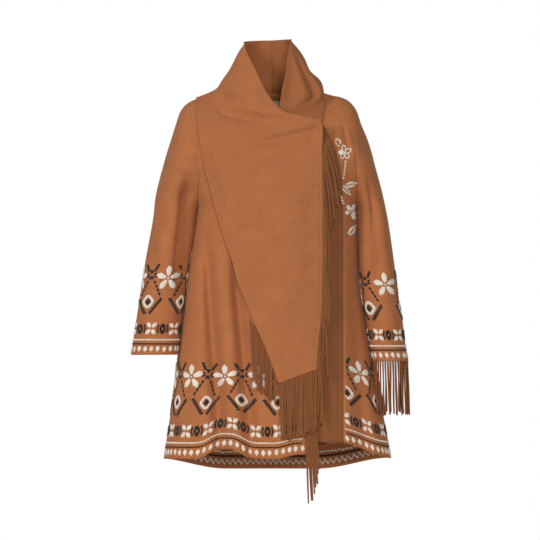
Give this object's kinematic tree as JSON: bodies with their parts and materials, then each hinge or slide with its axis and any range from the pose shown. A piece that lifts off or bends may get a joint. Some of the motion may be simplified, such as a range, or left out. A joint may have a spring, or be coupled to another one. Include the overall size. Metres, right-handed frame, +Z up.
{
  "type": "embroidered scarf-collar coat with fringe",
  "caption": "Hollow A-line wool-felt coat with raglan sleeves, a tall wrapped scarf collar, cut fringe and embroidered hem and cuff borders.",
  "frame": {"origin": "on the wearer's shoulder line, at the middle of the neck; the wearer holds the coat up there", "axes": "+Z up; -Y the front of the coat; +X the wearer's left"},
  "size_m": [0.6716, 0.3374, 1.1158],
  "materials": {
    "coat_felt": "heavy caramel wool felt, ivory and black-brown wool embroidery at hem, cuffs and left chest",
    "scarf_felt": "heavy caramel wool felt, plain",
    "fringe_felt": "narrow cut strips of the same felt",
    "label_cloth": "plain woven tape, blank"
  },
  "bodies": {
    "root": {"back": "coat_felt", "front_right": "coat_felt", "front_left": "coat_felt", "front_band": "coat_felt", "sleeve_right": "coat_felt", "sleeve_left": "coat_felt", "collar_right": "scarf_felt", "collar_left": "scarf_felt", "scarf_over": "scarf_felt", "scarf_under": "scarf_felt", "fringe_side": "fringe_felt", "fringe_end": "fringe_felt", "fringe_under": "fringe_felt", "fringe_low": "fringe_felt", "fringe_cuff": "fringe_felt", "neck_label": "label_cloth"}
  },
  "joints": []
}
